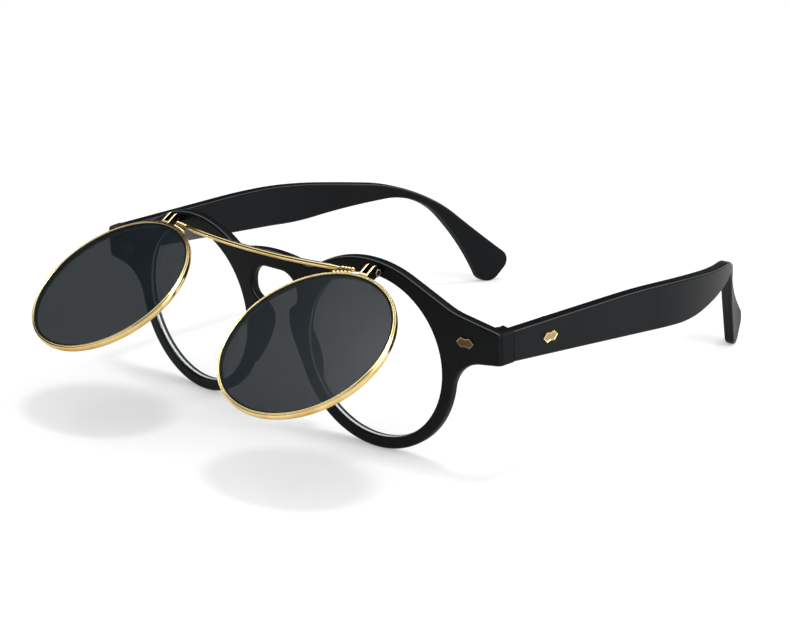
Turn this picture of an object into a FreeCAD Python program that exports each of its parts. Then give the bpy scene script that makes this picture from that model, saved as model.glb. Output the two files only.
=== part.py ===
import FreeCAD, Part
import math
import os

import Sketcher

Vector = FreeCAD.Vector
Placement = FreeCAD.Placement
Rotation = FreeCAD.Rotation

doc = FreeCAD.newDocument("flip_up_sunglasses")

# Driving dimensions, millimetres and degrees. Heights are from the lens centres, depths from the bridge.
SIZES = [
    ("lens_spacing", 21.8, "between the two lens openings"),
    ("opening_radius", 21.7, "lens opening of the front"),
    ("rim_band", 2.95, "rim outside the opening, at the bottom and sides"),
    ("brow_band", 3.85, "rim outside the opening, at the top"),
    ("brow_shift", -1.0, "crown of that top edge, outward from the lens centre"),
    ("brow_radius", 31, "arc of the top edge over each lens"),
    ("bridge_top", 4.9, "bridge's top edge, above the keyhole's crown"),
    ("hump_radius", 45, "arc of the bridge's top edge"),
    ("valley_round", 5, "round between bridge and brow"),
    ("shoulder_out", 0.75, "where brow and end piece meet, outward of the rim's side"),
    ("shoulder_height", 3.6, "that meeting point, above the end piece's upper edge"),
    ("shoulder_round", 22, "round at that meeting point"),
    ("end_half_width", 14.45, "what the end piece adds to each half, from the rim to its front corner"),
    ("end_flare", 0.7, "how far the end piece widens to the hinge"),
    ("end_top", 3.4, "end piece's upper edge, above the hinge's middle"),
    ("end_low", 3.7, "end piece's lower edge, below the hinge's middle"),
    ("end_root_low", 3.3, "height of that lower edge at the rim"),
    ("end_root_round", 10, "round between rim and end piece"),
    ("end_corner_round", 1.6, "upright corner of the end piece"),
    ("neck_half_width", 4.9, "half the gap between the nose flanks"),
    ("neck_low", 1.8, "lower end of the narrow gap"),
    ("neck_high", 7.0, "upper end of the narrow gap"),
    ("neck_round", 2.4, "round above the flanks"),
    ("flank_round", 10, "round where the flanks spread"),
    ("keyhole_half_width", 8.1, "half the keyhole's width"),
    ("keyhole_low", 9.0, "where the keyhole reaches its width"),
    ("keyhole_top", 7.8, "keyhole's crown, above that place"),
    ("keyhole_low_round", 3, "lower round of the keyhole"),
    ("keyhole_round", 5.4, "upper round of the keyhole"),
    ("front_thickness", 2.7, "thickness of the front"),
    ("wrap", 4.5, "turn of each half of the front"),
    ("bridge_arc", 178, "plan arc of the bridge"),
    ("edge_round", 0.8, "round on the front's long edges"),
    ("groove_inset", 0.6, "front face to the lens groove"),
    ("groove_width", 1.5, "lens groove width"),
    ("groove_depth", 0.8, "lens groove depth"),
    ("seat_clearance", 0.05, "clear lens in its groove"),
    ("pad_top", 5.6, "height of the nose pad's upper end"),
    ("pad_low", -12.2, "height of the nose pad's lower end"),
    ("pad_width", 2.7, "nose pad width"),
    ("pad_bulge", 3.9, "how far the nose pad stands behind the front"),
    ("pad_round", 0.9, "round on the nose pad's back edges"),
    ("pad_end", 1.0, "nose pad thickness at its ends"),
    ("pad_corner", 1.1, "nose pad's corners"),
    ("hinge_plane", 9.5, "depth of the joint between end piece and temple"),
    ("hinge_gap", 0.15, "gap in that joint"),
    ("hinge_height", 9.3, "height of the temple hinge's middle"),
    ("barrel_radius", 1.4, "temple hinge barrel"),
    ("barrel_gap", 0.1, "barrel to the temple's inner face"),
    ("knuckle_height", 2.0, "one of the three knuckles"),
    ("knuckle_gap", 0.05, "between knuckles"),
    ("leaf_thickness", 0.8, "hinge leaf plates"),
    ("leaf_height", 5.4, "hinge leaf plates"),
    ("front_leaf_length", 9.5, "front leaf, from the hinge axis"),
    ("temple_leaf_length", 15.5, "temple leaf, from the hinge axis"),
    ("screw_radius", 0.6, "hinge screw shank"),
    ("screw_head_radius", 1.15, "hinge screw head"),
    ("screw_head_height", 0.5, "hinge screw head"),
    ("bore_clearance", 0.03, "round every pin and screw, on the radius"),
    ("seat_gap", 0.02, "film between pieces that are bedded on each other"),
    ("temple_thickness", 3.3, "temple plate"),
    ("tip_thickness", 2.5, "temple plate at the tip's end"),
    ("temple_splay", 2.5, "outward slant of the temple's straight part"),
    ("temple_straight", 55.5, "where the temple starts to curve in, behind the hinge joint"),
    ("temple_curve", 92, "plan arc of the temple"),
    ("tip_toe_in", 36, "inward slant at the end of that arc"),
    ("tip_flare", 80, "plan arc that turns the tip back out"),
    ("temple_top", 4.0, "temple's upper edge at the hinge, above the hinge's middle"),
    ("temple_low", 4.0, "temple's lower edge at the hinge, below the hinge's middle"),
    ("brow_line_depth", 59.0, "where the upper edge starts to fall, behind the hinge joint"),
    ("brow_line_height", 10.5, "its height there"),
    ("brow_line_round", 300, "its round there"),
    ("ear_depth", 50.7, "ear bend, upper edge, behind that place"),
    ("ear_height", 1.2, "ear bend, upper edge"),
    ("ear_round", 42, "ear bend, upper edge"),
    ("belly_depth", 10.5, "deepest place of the lower edge, behind the place where the upper one falls"),
    ("belly_height", -3.5, "its height there"),
    ("belly_round", 70, "its round there"),
    ("crook_depth", 1.6, "ear bend, lower edge, ahead of the upper one"),
    ("crook_height", -1.2, "ear bend, lower edge"),
    ("crook_round", 16, "ear bend, lower edge"),
    ("tip_rear_depth", 27.2, "rear corner of the tip, behind the ear bend"),
    ("tip_rear_height", -26.8, "rear corner of the tip"),
    ("tip_rear_round", 3.8, "rear corner of the tip"),
    ("tip_low_depth", 17.2, "lower corner of the tip, behind the ear bend"),
    ("tip_low_height", -36.8, "lower corner of the tip"),
    ("tip_low_round", 4.2, "lower corner of the tip"),
    ("tip_rear_hollow", 220, "hollow arc of the tip's rear edge"),
    ("tip_front_hollow", 105, "hollow arc of the tip's front edge"),
    ("temple_edge_round", 0.7, "round on the temple's long edges"),
    ("rivet_length", 5.2, "arrow rivet, point to point"),
    ("rivet_width", 2.6, "arrow rivet at its shoulders"),
    ("rivet_waist", 2.0, "arrow rivet at its waist"),
    ("rivet_point", 1.3, "length of the arrow points"),
    ("rivet_stand", 0.35, "how far the rivet stands out"),
    ("rivet_shank", 0.7, "radius of the rivet's shank"),
    ("front_rivet_out", 10.1, "front rivet, inward of the end piece's front corner"),
    ("front_rivet_height", 0.1, "front rivet, above the hinge's middle"),
    ("temple_rivet_depth", 12.8, "temple rivet, behind the hinge joint"),
    ("temple_rivet_height", 0.9, "temple rivet, below the hinge's middle"),
    ("flip_axis_height", 1.8, "flip hinge axis, above the lens opening's top"),
    ("flip_axis_stand", 2.7, "flip hinge axis in front of the front"),
    ("flip_hinge_out", 3.6, "flip hinge, outward of the lens centre"),
    ("flip_knuckle_width", 1.6, "knuckle on the front"),
    ("flip_side_gap", 0.05, "knuckle to fork leaf"),
    ("flip_eye_radius", 1.05, "eyes round the flip pin"),
    ("flip_pin_radius", 0.5, "flip pin"),
    ("flip_head_radius", 1.1, "flip pin head"),
    ("flip_head_height", 0.5, "flip pin head"),
    ("flip_tang_height", 1.4, "tang of the knuckle"),
    ("flip_tang_depth", 1.6, "tang of the knuckle, inside the front"),
    ("fork_leaf", 0.5, "fork leaf thickness"),
    ("fork_reach", 2.0, "fork leaf's front edge, ahead of the axis"),
    ("fork_base", 0.7, "fork base thickness"),
    ("fork_round", 0.9, "fork leaf's upper front corner"),
    ("clip_reach", 3.15, "flip axis to the tops of the eyewires"),
    ("clip_forward", 1.6, "tinted lens plane ahead of the flip axis"),
    ("clip_spacing", 3.35, "each tinted lens centre, outward of the clear one"),
    ("clip_wrap", 2, "turn of each tinted lens"),
    ("clip_open", 60, "photographed flip angle, from closed"),
    ("clip_lens_radius", 22.15, "visible tinted lens"),
    ("clip_rim_width", 0.9, "eyewire, across"),
    ("clip_rim_depth", 1.9, "eyewire, front to back"),
    ("clip_rim_lip", 0.7, "eyewire, ahead of the lens's middle"),
    ("clip_rim_bevel", 0.3, "eyewire outer bevels"),
    ("clip_groove_depth", 0.5, "lens groove of the eyewire"),
    ("tint_thickness", 0.8, "tinted lens"),
    ("tint_clearance", 0.03, "tinted lens in its groove"),
    ("bar_radius", 0.72, "top bar"),
    ("bar_half_length", 4.0, "how far each half of the top bar stops short of the flip hinge"),
    ("bar_end_drop", 1.1, "tops of the eyewires below the bar's ends"),
    ("bar_bow", 1.9, "bar's middle below its ends"),
    ("block_out", 4.6, "bar block, inward of the bar's end"),
    ("block_length", 4.4, "bar block along the bar"),
    ("block_depth", 1.3, "bar block front to back"),
]
size = doc.addObject("Spreadsheet::Sheet", "size")
for row, (alias, number, meaning) in enumerate(SIZES, start=1):
    size.set("A%d" % row, meaning)
    size.set("B%d" % row, str(number))
    size.setAlias("B%d" % row, alias)
doc.recompute()

NEAR = 0.02
# The most of a wall or an edge that a round may take
WALL_SHARE = 0.95
BEND_SHARE = 0.78


def value(formula):
    """The number that a formula of the sizes gives."""
    return float(size.evalExpression(formula))


def body(label):
    """A new body named for its piece."""
    piece = doc.addObject("PartDesign::Body", label)
    piece.Label = label
    return piece


def sketch_on(piece, role, name):
    """A sketch on one of the body's own origin planes."""
    sketch = piece.newObject("Sketcher::SketchObject", name)
    plane = next(feature for feature in piece.Origin.OriginFeatures if feature.Role == role)
    sketch.AttachmentSupport = (plane, "")
    sketch.MapMode = "FlatFace"
    return sketch


def tie(sketch, formula, kind, *where):
    """A dimension in a sketch that follows a formula of the sizes."""
    row = sketch.addConstraint(Sketcher.Constraint(kind, *where, value(formula)))
    sketch.setExpression("Constraints[%d]" % row, formula)


def draw(sketch, corners, arcs=None):
    """A closed outline: corners as pairs of formulas, edges straight but for arcs.

    arcs maps the number of an edge to its radius and to the side it bulges, left (1) or right (-1).
    """
    arcs = arcs or {}
    spots = [Vector(value(across), value(up), 0) for across, up in corners]
    edges = []
    for number, (start, end) in enumerate(zip(spots, spots[1:] + spots[:1])):
        if number in arcs:
            radius, side = value(arcs[number][0]), arcs[number][1]
            chord = end - start
            rise = radius - math.sqrt(radius ** 2 - chord.Length ** 2 / 4)
            left = Vector(-chord.y, chord.x, 0).normalize()
            curve = Part.Arc(start, (start + end) * 0.5 + left * rise * side, end)
        else:
            curve = Part.LineSegment(start, end)
        geometry = sketch.addGeometry(curve)
        begins = 1 if (sketch.getPoint(geometry, 1) - start).Length < NEAR else 2
        edges.append((geometry, begins, 3 - begins))
    for (before, _, ends), (after, begins, _) in zip(edges, edges[1:] + edges[:1]):
        sketch.addConstraint(Sketcher.Constraint("Coincident", before, ends, after, begins))
    for (geometry, begins, _), (across, up) in zip(edges, corners):
        tie(sketch, across, "DistanceX", -1, 1, geometry, begins)
        tie(sketch, up, "DistanceY", -1, 1, geometry, begins)
    for number, (radius, _) in arcs.items():
        tie(sketch, radius, "Radius", edges[number][0])


def rectangle(low_x, low_y, high_x, high_y):
    """Corners of an upright rectangle."""
    return [(low_x, low_y), (high_x, low_y), (high_x, high_y), (low_x, high_y)]


def circle(sketch, across, up, radius):
    """A circle whose centre and radius follow the sizes."""
    centre = Vector(value(across), value(up), 0)
    geometry = sketch.addGeometry(Part.Circle(centre, Vector(0, 0, 1), value(radius)))
    tie(sketch, across, "DistanceX", -1, 1, geometry, 3)
    tie(sketch, up, "DistanceY", -1, 1, geometry, 3)
    tie(sketch, radius, "Radius", geometry)


def pad(piece, sketch, length, both_ways=False, backwards=False):
    """Material from a sketch, on one side of its plane or half on each side."""
    feature = piece.newObject("PartDesign::Pad", sketch.Name + "_pad")
    feature.Profile = sketch
    feature.setExpression("Length", length)
    feature.SideType = "Symmetric" if both_ways else "One side"
    feature.Reversed = backwards
    doc.recompute()
    return feature


def pocket(piece, sketch):
    """A cut right through, both ways from the sketch; it has to take material away."""
    before = piece.Shape.Volume
    feature = piece.newObject("PartDesign::Pocket", sketch.Name + "_cut")
    feature.Profile = sketch
    feature.Type = "ThroughAll"
    feature.SideType = "Symmetric"
    doc.recompute()
    if not piece.Shape.Volume < before - NEAR:
        raise RuntimeError(sketch.Name + " cuts nothing")
    return feature


def keep_inside(piece, role, name, corners, arcs=None):
    """Cut away all that lies outside an outline, seen along the plane's normal."""
    sketch = sketch_on(piece, role, name)
    far = "(2 * %s)" % TIP_REAR_Y
    draw(sketch, rectangle("-" + far, "-" + far, far, far))
    draw(sketch, corners, arcs)
    return pocket(piece, sketch)


def bored(piece, name, radius, length, placement):
    """A round hole along the placement's own Z axis."""
    before = piece.Shape.Volume
    feature = piece.newObject("PartDesign::SubtractiveCylinder", name)
    feature.setExpression("Radius", radius)
    feature.setExpression("Height", length)
    feature.Placement = placement
    doc.recompute()
    if not piece.Shape.Volume < before - NEAR:
        raise RuntimeError(name + " cuts nothing")


def round_edges(piece, name, radius, chosen):
    """A fillet on the edges that the test picks."""
    base = piece.Tip
    picked = ["Edge%d" % number for number, edge in enumerate(base.Shape.Edges, 1) if chosen(edge)]
    if not picked:
        raise RuntimeError(name + " finds no edge")
    feature = piece.newObject("PartDesign::Fillet", name)
    feature.Base = (base, picked)
    feature.setExpression("Radius", radius)
    doc.recompute()


def boxed(piece, name, length, width, height, placement):
    """A box-shaped hole from the placement's origin."""
    before = piece.Shape.Volume
    feature = piece.newObject("PartDesign::SubtractiveBox", name)
    for edge, formula in (("Length", length), ("Width", width), ("Height", height)):
        feature.setExpression(edge, formula)
    feature.Placement = placement
    doc.recompute()
    if not piece.Shape.Volume < before - NEAR:
        raise RuntimeError(name + " cuts nothing")


def turned(piece, name, corners):
    """Material turned about the body's Z axis; corners are pairs of radius and height."""
    sketch = sketch_on(piece, "XZ_Plane", name)
    draw(sketch, corners)
    feature = piece.newObject("PartDesign::Revolution", name + "_turn")
    feature.Profile = sketch
    feature.ReferenceAxis = (sketch, ["V_Axis"])
    feature.Angle = 360
    doc.recompute()


def runs_through(edge, across, corner):
    """Whether an edge runs straight along one axis through a corner of the plane across it."""
    spot = (value(corner[0]), value(corner[1]))
    ends = [[getattr(vertex.Point, axis) for axis in across] for vertex in edge.Vertexes]
    return len(ends) == 2 and all(math.dist(end, spot) < NEAR for end in ends)


def spots_on(edge):
    """A few points along an edge."""
    first, last = edge.FirstParameter, edge.LastParameter
    return [edge.valueAt(first + part * (last - first)) for part in (0, 0.4, 1)]


def round_corner(piece, name, radius, across, corner):
    """A fillet on the straight edge that stands on one corner of an outline."""
    round_edges(piece, name, radius, lambda edge: runs_through(edge, across, corner))


def touching(spot, centre, radius):
    """Where a line from a spot touches a circle, on the side reached by turning left from the spot."""
    across, up = "(%s - %s)" % (spot[0], centre[0]), "(%s - %s)" % (spot[1], centre[1])
    turn = "(atan2(%s; %s) + acos(%s / sqrt(%s^2 + %s^2)))" % (up, across, radius, across, up)
    touch_x = "(%s + %s * cos(%s))" % (centre[0], radius, turn)
    touch_y = "(%s + %s * sin(%s))" % (centre[1], radius, turn)
    return touch_x, touch_y


def softened(before, corner, after, radius):
    """Where a wide round begins and ends on the lines that meet in a corner, and its radius and side."""
    runs = [("(%s - %s)" % (spot[0], corner[0]), "(%s - %s)" % (spot[1], corner[1]))
            for spot in (before, after)]
    lengths = ["sqrt(%s^2 + %s^2)" % run for run in runs]
    bend = "((%s * %s + %s * %s) / (%s * %s))" % (runs[0][0], runs[1][0], runs[0][1], runs[1][1], *lengths)
    reach = "(%s * sqrt((1 + %s) / (1 - %s)))" % (radius, bend, bend)
    ends = [tuple("(%s + %s * %s / %s)" % (spot, step, reach, length) for spot, step in zip(corner, run))
            for run, length in zip(runs, lengths)]
    turn = value("%s * %s - %s * %s" % (runs[0][0], runs[1][1], runs[0][1], runs[1][0]))
    return ends, (radius, 1 if turn > 0 else -1)


def circles_meet(first, first_radius, second, second_radius):
    """The upper meeting point of two circles, the first on the left."""
    across, up = "(%s - %s)" % (second[0], first[0]), "(%s - %s)" % (second[1], first[1])
    gap = "sqrt(%s^2 + %s^2)" % (across, up)
    along = "((%s^2 - %s^2 + %s^2) / (2 * %s))" % (first_radius, second_radius, gap, gap)
    aside = "sqrt(%s^2 - %s^2)" % (first_radius, along)
    meet_x = "(%s + (%s * %s - %s * %s) / %s)" % (first[0], along, across, aside, up, gap)
    meet_y = "(%s + (%s * %s + %s * %s) / %s)" % (first[1], along, up, aside, across, gap)
    return meet_x, meet_y


# Lines that several pieces share
LENS_X = "(size.lens_spacing / 2 + size.opening_radius)"
RIM_RADIUS = "(size.opening_radius + size.rim_band)"
RIM_SIDE = "(%s + %s)" % (LENS_X, RIM_RADIUS)
BROW_CENTRE = ("(%s + size.brow_shift)" % LENS_X,
               "(size.opening_radius + size.brow_band - size.brow_radius)")
KEYHOLE_TOP = "(size.keyhole_low + size.keyhole_top)"
BRIDGE_TOP = "(%s + size.bridge_top)" % KEYHOLE_TOP
HUMP_CENTRE = ("0", "(%s - size.hump_radius)" % BRIDGE_TOP)
SINE, COSINE, SLOPE = ("%s(size.wrap * 1deg)" % name for name in ("sin", "cos", "tan"))
BACK_ARC = "(size.bridge_arc - size.front_thickness)"
END_X = "(%s + size.end_half_width)" % RIM_SIDE
END_TOP = "(size.hinge_height + size.end_top)"
TEMPLE_X = "(%s + size.end_flare)" % END_X
TEMPLE_START = "(size.hinge_plane + size.hinge_gap)"
SPLAY = "(size.temple_splay * 1deg)"
TOE_IN = "(size.tip_toe_in * 1deg)"
STRAIGHT_Y = "(size.hinge_plane + size.temple_straight)"
BROW_LINE_Y = "(size.hinge_plane + size.brow_line_depth)"
EAR_Y = "(%s + size.ear_depth)" % BROW_LINE_Y
TIP_REAR_Y = "(%s + size.tip_rear_depth)" % EAR_Y
FLANGE_X = "(%s - size.temple_thickness)" % TEMPLE_X
HINGE_X = "(%s - size.barrel_gap - size.barrel_radius)" % FLANGE_X
KNUCKLE_PITCH = "(size.knuckle_height + size.knuckle_gap)"
BORE = "(size.screw_radius + size.bore_clearance)"
BARREL_ROOM = "(size.barrel_radius + size.barrel_gap)"
RIVET_HOLE = "(size.rivet_shank + size.bore_clearance)"
FRONT_RIVET = ("(%s - size.front_rivet_out)" % END_X, "(size.hinge_height + size.front_rivet_height)")
TEMPLE_RIVET = ("(size.hinge_plane + size.temple_rivet_depth)",
                "(size.hinge_height - size.temple_rivet_height)")
FLIP_X = "(%s + size.flip_hinge_out)" % LENS_X
FLIP_HEIGHT = "(size.opening_radius + size.flip_axis_height)"
CLIP_X = "(%s + size.clip_spacing)" % LENS_X
CLIP_RIM_RADIUS = "(size.clip_lens_radius + size.clip_rim_width)"
FORK_INSIDE = "(size.flip_knuckle_width / 2 + size.flip_side_gap)"
FORK_OUTSIDE = "(%s + size.fork_leaf)" % FORK_INSIDE
FLIP_BORE = "(size.flip_pin_radius + size.bore_clearance)"
BAR_HALF = "(%s - size.bar_half_length)" % FLIP_X
BAR_RISE = "((%s^2 + size.bar_bow^2) / (2 * size.bar_bow))" % BAR_HALF
BAR_ANGLE = "(2 * asin(%s / %s))" % (BAR_HALF, BAR_RISE)
BAR_LOW = "(size.clip_reach - size.bar_end_drop + size.bar_bow)"


def front_depth(across):
    """Depth of the front face at a distance from the middle, on the straight part."""
    return "(size.bridge_arc * (1 - %s) + (%s - size.bridge_arc * %s) * %s)" % (COSINE, across, SINE, SLOPE)


def back_depth(across):
    """Depth of the back face of the front."""
    arc_end_x, arc_end_y = "%s * %s" % (BACK_ARC, SINE), "(size.bridge_arc - %s * %s)" % (BACK_ARC, COSINE)
    return "(%s + (%s - %s) * %s)" % (arc_end_y, across, arc_end_x, SLOPE)


FLIP_AXIS_Y = "(%s - size.flip_axis_stand)" % front_depth(FLIP_X)


def on_face(spot, heading, depth):
    """A place on an upright face that runs along a heading: its X axis along it, its Z axis into it."""
    turn = Rotation(Vector(0, 0, 1), heading).multiply(Rotation(Vector(1, 0, 0), -90))
    return Placement(spot + turn.multVec(Vector(0, 0, depth)), turn)


def on_front(across, height, depth=0.0):
    """A place on the front face, pushed in by a depth."""
    spot = Vector(value(across), value(front_depth(across)), value(height))
    return on_face(spot, value("size.wrap"), depth)


def on_temple(along, height, depth=0.0):
    """A place on the temple's outer face, pushed in by a depth."""
    out = "%s + (%s - %s) * tan(%s)" % (TEMPLE_X, along, TEMPLE_START, SPLAY)
    return on_face(Vector(value(out), value(along), value(height)), 90 - value("size.temple_splay"), depth)


# The front, drawn as one half and mirrored
def front_outline():
    """Corners of the front's half, from the bridge's top round to its keyhole, and the curved edges."""
    beyond = "(%s + size.temple_thickness)" % TEMPLE_X
    lens = (LENS_X, "0")
    flank = ("size.neck_half_width", "size.neck_low")
    shoulder = ("(%s + size.shoulder_out)" % RIM_SIDE, "(%s + size.shoulder_height)" % END_TOP)
    brow, end = touching(shoulder, BROW_CENTRE, "size.brow_radius"), (beyond, END_TOP)
    sweep, sweep_arc = softened(brow, shoulder, end, "size.shoulder_round")
    root_x = "(%s + sqrt(%s^2 - size.end_root_low^2))" % (LENS_X, RIM_RADIUS)
    corners = {
        "bridge": ("0", BRIDGE_TOP),
        "valley": circles_meet(HUMP_CENTRE, "size.hump_radius", BROW_CENTRE, "size.brow_radius"),
        "brow": brow,
        "shoulder_start": sweep[0],
        "shoulder_end": sweep[1],
        "end_top": end,
        "end_low": (beyond, "(size.hinge_height - size.end_low)"),
        "end_root": (root_x, "size.end_root_low"),
        "rim_low": (LENS_X, "-" + RIM_RADIUS),
        "rim_nose": touching(flank, lens, RIM_RADIUS),
        "flank": flank,
        "neck": ("size.neck_half_width", "size.neck_high"),
        "keyhole_low": ("size.keyhole_half_width", "size.keyhole_low"),
        "keyhole_corner": ("size.keyhole_half_width", KEYHOLE_TOP),
        "crown": ("0", KEYHOLE_TOP),
    }
    order = list(corners)
    arcs = {
        order.index("bridge"): ("size.hump_radius", 1),
        order.index("valley"): ("size.brow_radius", 1),
        order.index("shoulder_start"): sweep_arc,
        order.index("end_root"): (RIM_RADIUS, 1),
        order.index("rim_low"): (RIM_RADIUS, 1),
    }
    return corners, arcs


def front_plan():
    """Corners of the front's half seen from above: curved bridge, straight rim, return at the hinge."""
    corners = [
        ("0", "0"),
        ("size.bridge_arc * " + SINE, "size.bridge_arc * (1 - %s)" % COSINE),
        (END_X, front_depth(END_X)),
        (TEMPLE_X, "size.hinge_plane"),
        (FLANGE_X, "size.hinge_plane"),
        (FLANGE_X, back_depth(FLANGE_X)),
        ("%s * %s" % (BACK_ARC, SINE), "size.bridge_arc - %s * %s" % (BACK_ARC, COSINE)),
        ("0", "size.front_thickness"),
    ]
    return corners, {0: ("size.bridge_arc", -1), 6: (BACK_ARC, 1)}


def lens_seat(depth):
    """A place on the clear lens's axis, a depth behind the front face."""
    return on_front(LENS_X, "0", depth)


def on_broad_face(edge):
    """Whether an edge lies on the front's face or back, away from the middle and from the hinge."""
    spots = spots_on(edge)
    ahead = all(abs(spot.y - plan_depth(spot.x)) < NEAR for spot in spots)
    behind = all(abs(spot.y - plan_depth(spot.x, value("size.front_thickness"))) < NEAR for spot in spots)
    upright = math.dist(spots[0], spots[-1]) - abs(spots[0].z - spots[-1].z) < NEAR
    return (ahead or behind) and not upright and all(spot.x > NEAR for spot in spots[1:2])


def plan_depth(across, behind=0.0):
    """Depth of the front's face, bridge arc included, or of a surface behind it."""
    turn, arc = math.radians(value("size.wrap")), value("size.bridge_arc")
    near = arc - behind
    if across < near * math.sin(turn):
        return arc - math.sqrt(near ** 2 - across ** 2)
    return arc - near * math.cos(turn) + (across - near * math.sin(turn)) * math.tan(turn)


def make_front():
    """The plastic front with its lens grooves, rivet holes and slots for the flip hinge."""
    front_half = body("front_half")
    corners, arcs = front_outline()
    outline = sketch_on(front_half, "XZ_Plane", "front_outline")
    draw(outline, list(corners.values()), arcs)
    pad(front_half, outline, "4 * size.hinge_plane", both_ways=True)
    slant = "atan2(size.keyhole_low - size.neck_high; size.keyhole_half_width - size.neck_half_width)"
    low_end = "(size.keyhole_low_round * tan((90deg - %s) / 2))" % slant
    rounds = {
        "valley": "size.valley_round",
        "end_root": "size.end_root_round",
        "flank": "size.flank_round",
        "neck": "size.neck_round",
        "keyhole_low": "size.keyhole_low_round",
        "keyhole_corner": "min(size.keyhole_round; %s * (size.keyhole_top - %s))" % (WALL_SHARE, low_end),
    }
    for name, radius in rounds.items():
        round_corner(front_half, "front_%s_round" % name, radius, "xz", corners[name])
    plan, plan_arcs = front_plan()
    keep_inside(front_half, "XY_Plane", "front_plan", plan, plan_arcs)
    round_corner(front_half, "end_corner", "size.end_corner_round", "xy", plan[2])
    round_edges(front_half, "front_edge", "size.edge_round", on_broad_face)
    bored(front_half, "lens_opening", "size.opening_radius", "4 * size.hinge_plane",
          lens_seat(-2 * value("size.hinge_plane")))
    bored(front_half, "lens_groove", "size.opening_radius + size.groove_depth", "size.groove_width",
          lens_seat(value("size.groove_inset")))
    bored(front_half, "rivet_hole", RIVET_HOLE, "2 * size.front_thickness",
          on_front(*FRONT_RIVET, -value("size.front_thickness") / 2))

    knuckle_half = "(size.flip_knuckle_width / 2 + size.seat_gap)"
    tang_half = "(size.flip_tang_height / 2 + size.seat_gap)"
    slot = Vector(value("%s - %s" % (FLIP_X, knuckle_half)), value(FLIP_AXIS_Y),
                  value("%s - %s" % (FLIP_HEIGHT, tang_half)))
    boxed(front_half, "knuckle_slot", "2 * " + knuckle_half,
          "size.flip_axis_stand + size.flip_tang_depth + size.seat_gap", "2 * " + tang_half,
          Placement(slot, Rotation()))
    return front_half


def make_clear_lens():
    """A flat clear lens in the groove of the front."""
    lens = doc.addObject("Part::Cylinder", "clear_lens")
    lens.setExpression("Radius", "size.opening_radius + size.groove_depth - size.seat_clearance")
    lens.setExpression("Height", "size.groove_width - 2 * size.seat_clearance")
    return lens, lens_seat(value("size.groove_inset + size.seat_clearance"))


def make_nose_pad():
    """A pad glued behind the rim's nose flank, thickest in its middle."""
    pad_body = body("nose_pad")
    rim_nose = touching(("size.neck_half_width", "size.neck_low"), (LENS_X, "0"), RIM_RADIUS)
    spread = "((%s - size.neck_half_width) / (size.neck_low - %s))" % rim_nose
    low_x = "(size.neck_half_width + %s * (size.neck_low - size.pad_low))" % spread
    edge_left = "(%s * (size.pad_top - size.neck_low - size.pad_corner))" % BEND_SHARE
    bend_room = "(%s / tan(atan(%s) / 2))" % (edge_left, spread)
    corners = [
        ("size.neck_half_width", "size.pad_top"),
        ("size.neck_half_width", "size.neck_low"),
        (low_x, "size.pad_low"),
        (low_x + " + size.pad_width", "size.pad_low"),
        ("size.neck_half_width + size.pad_width", "size.neck_low"),
        ("size.neck_half_width + size.pad_width", "size.pad_top"),
    ]
    band = sketch_on(pad_body, "XZ_Plane", "pad_band")
    draw(band, corners)
    pad(pad_body, band, "4 * size.front_thickness + size.pad_bulge", backwards=True)
    end_depth = "(size.front_thickness + size.pad_end)"
    swell = "(size.pad_bulge - size.pad_end)"
    half = "((size.pad_top - size.pad_low) / 2)"
    keep_inside(pad_body, "YZ_Plane", "pad_side", [
        ("0", "size.pad_top"), ("0", "size.pad_low"),
        (end_depth, "size.pad_low"), (end_depth, "size.pad_top"),
    ], {2: ("(%s^2 + %s^2) / (2 * %s)" % (half, swell, swell), -1)})
    glue_arc = "(%s - size.seat_gap)" % BACK_ARC
    far = "(4 * size.front_thickness + size.pad_bulge)"
    keep_inside(pad_body, "XY_Plane", "pad_plan", [
        ("0", "size.front_thickness + size.seat_gap"),
        (glue_arc + " * " + SINE, "size.bridge_arc - %s * %s" % (glue_arc, COSINE)),
        (FLANGE_X, back_depth(FLANGE_X) + " + size.seat_gap / " + COSINE),
        (FLANGE_X, far), ("0", far),
    ], {0: (glue_arc, -1)})
    for number in (0, 2, 3, 5):
        round_corner(pad_body, "pad_corner_%d" % number, "size.pad_corner", "xz", corners[number])
    for number in (1, 4):
        round_corner(pad_body, "pad_bend_%d" % number, "min(size.flank_round; %s)" % bend_room, "xz",
                     corners[number])
    floor_depth = value("size.front_thickness + size.pad_end / 2")
    round_edges(pad_body, "pad_back", "size.pad_round", lambda edge: all(
        spot.y > floor_depth for spot in spots_on(edge)) and edge.Length > value("size.pad_round")
        and not across_pad(edge))
    return pad_body, Placement()


def across_pad(edge):
    """Whether an edge runs straight across the pad's back."""
    ends = [vertex.Point for vertex in edge.Vertexes]
    return abs(ends[0].z - ends[-1].z) < NEAR and abs(ends[0].y - ends[-1].y) < NEAR


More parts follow.
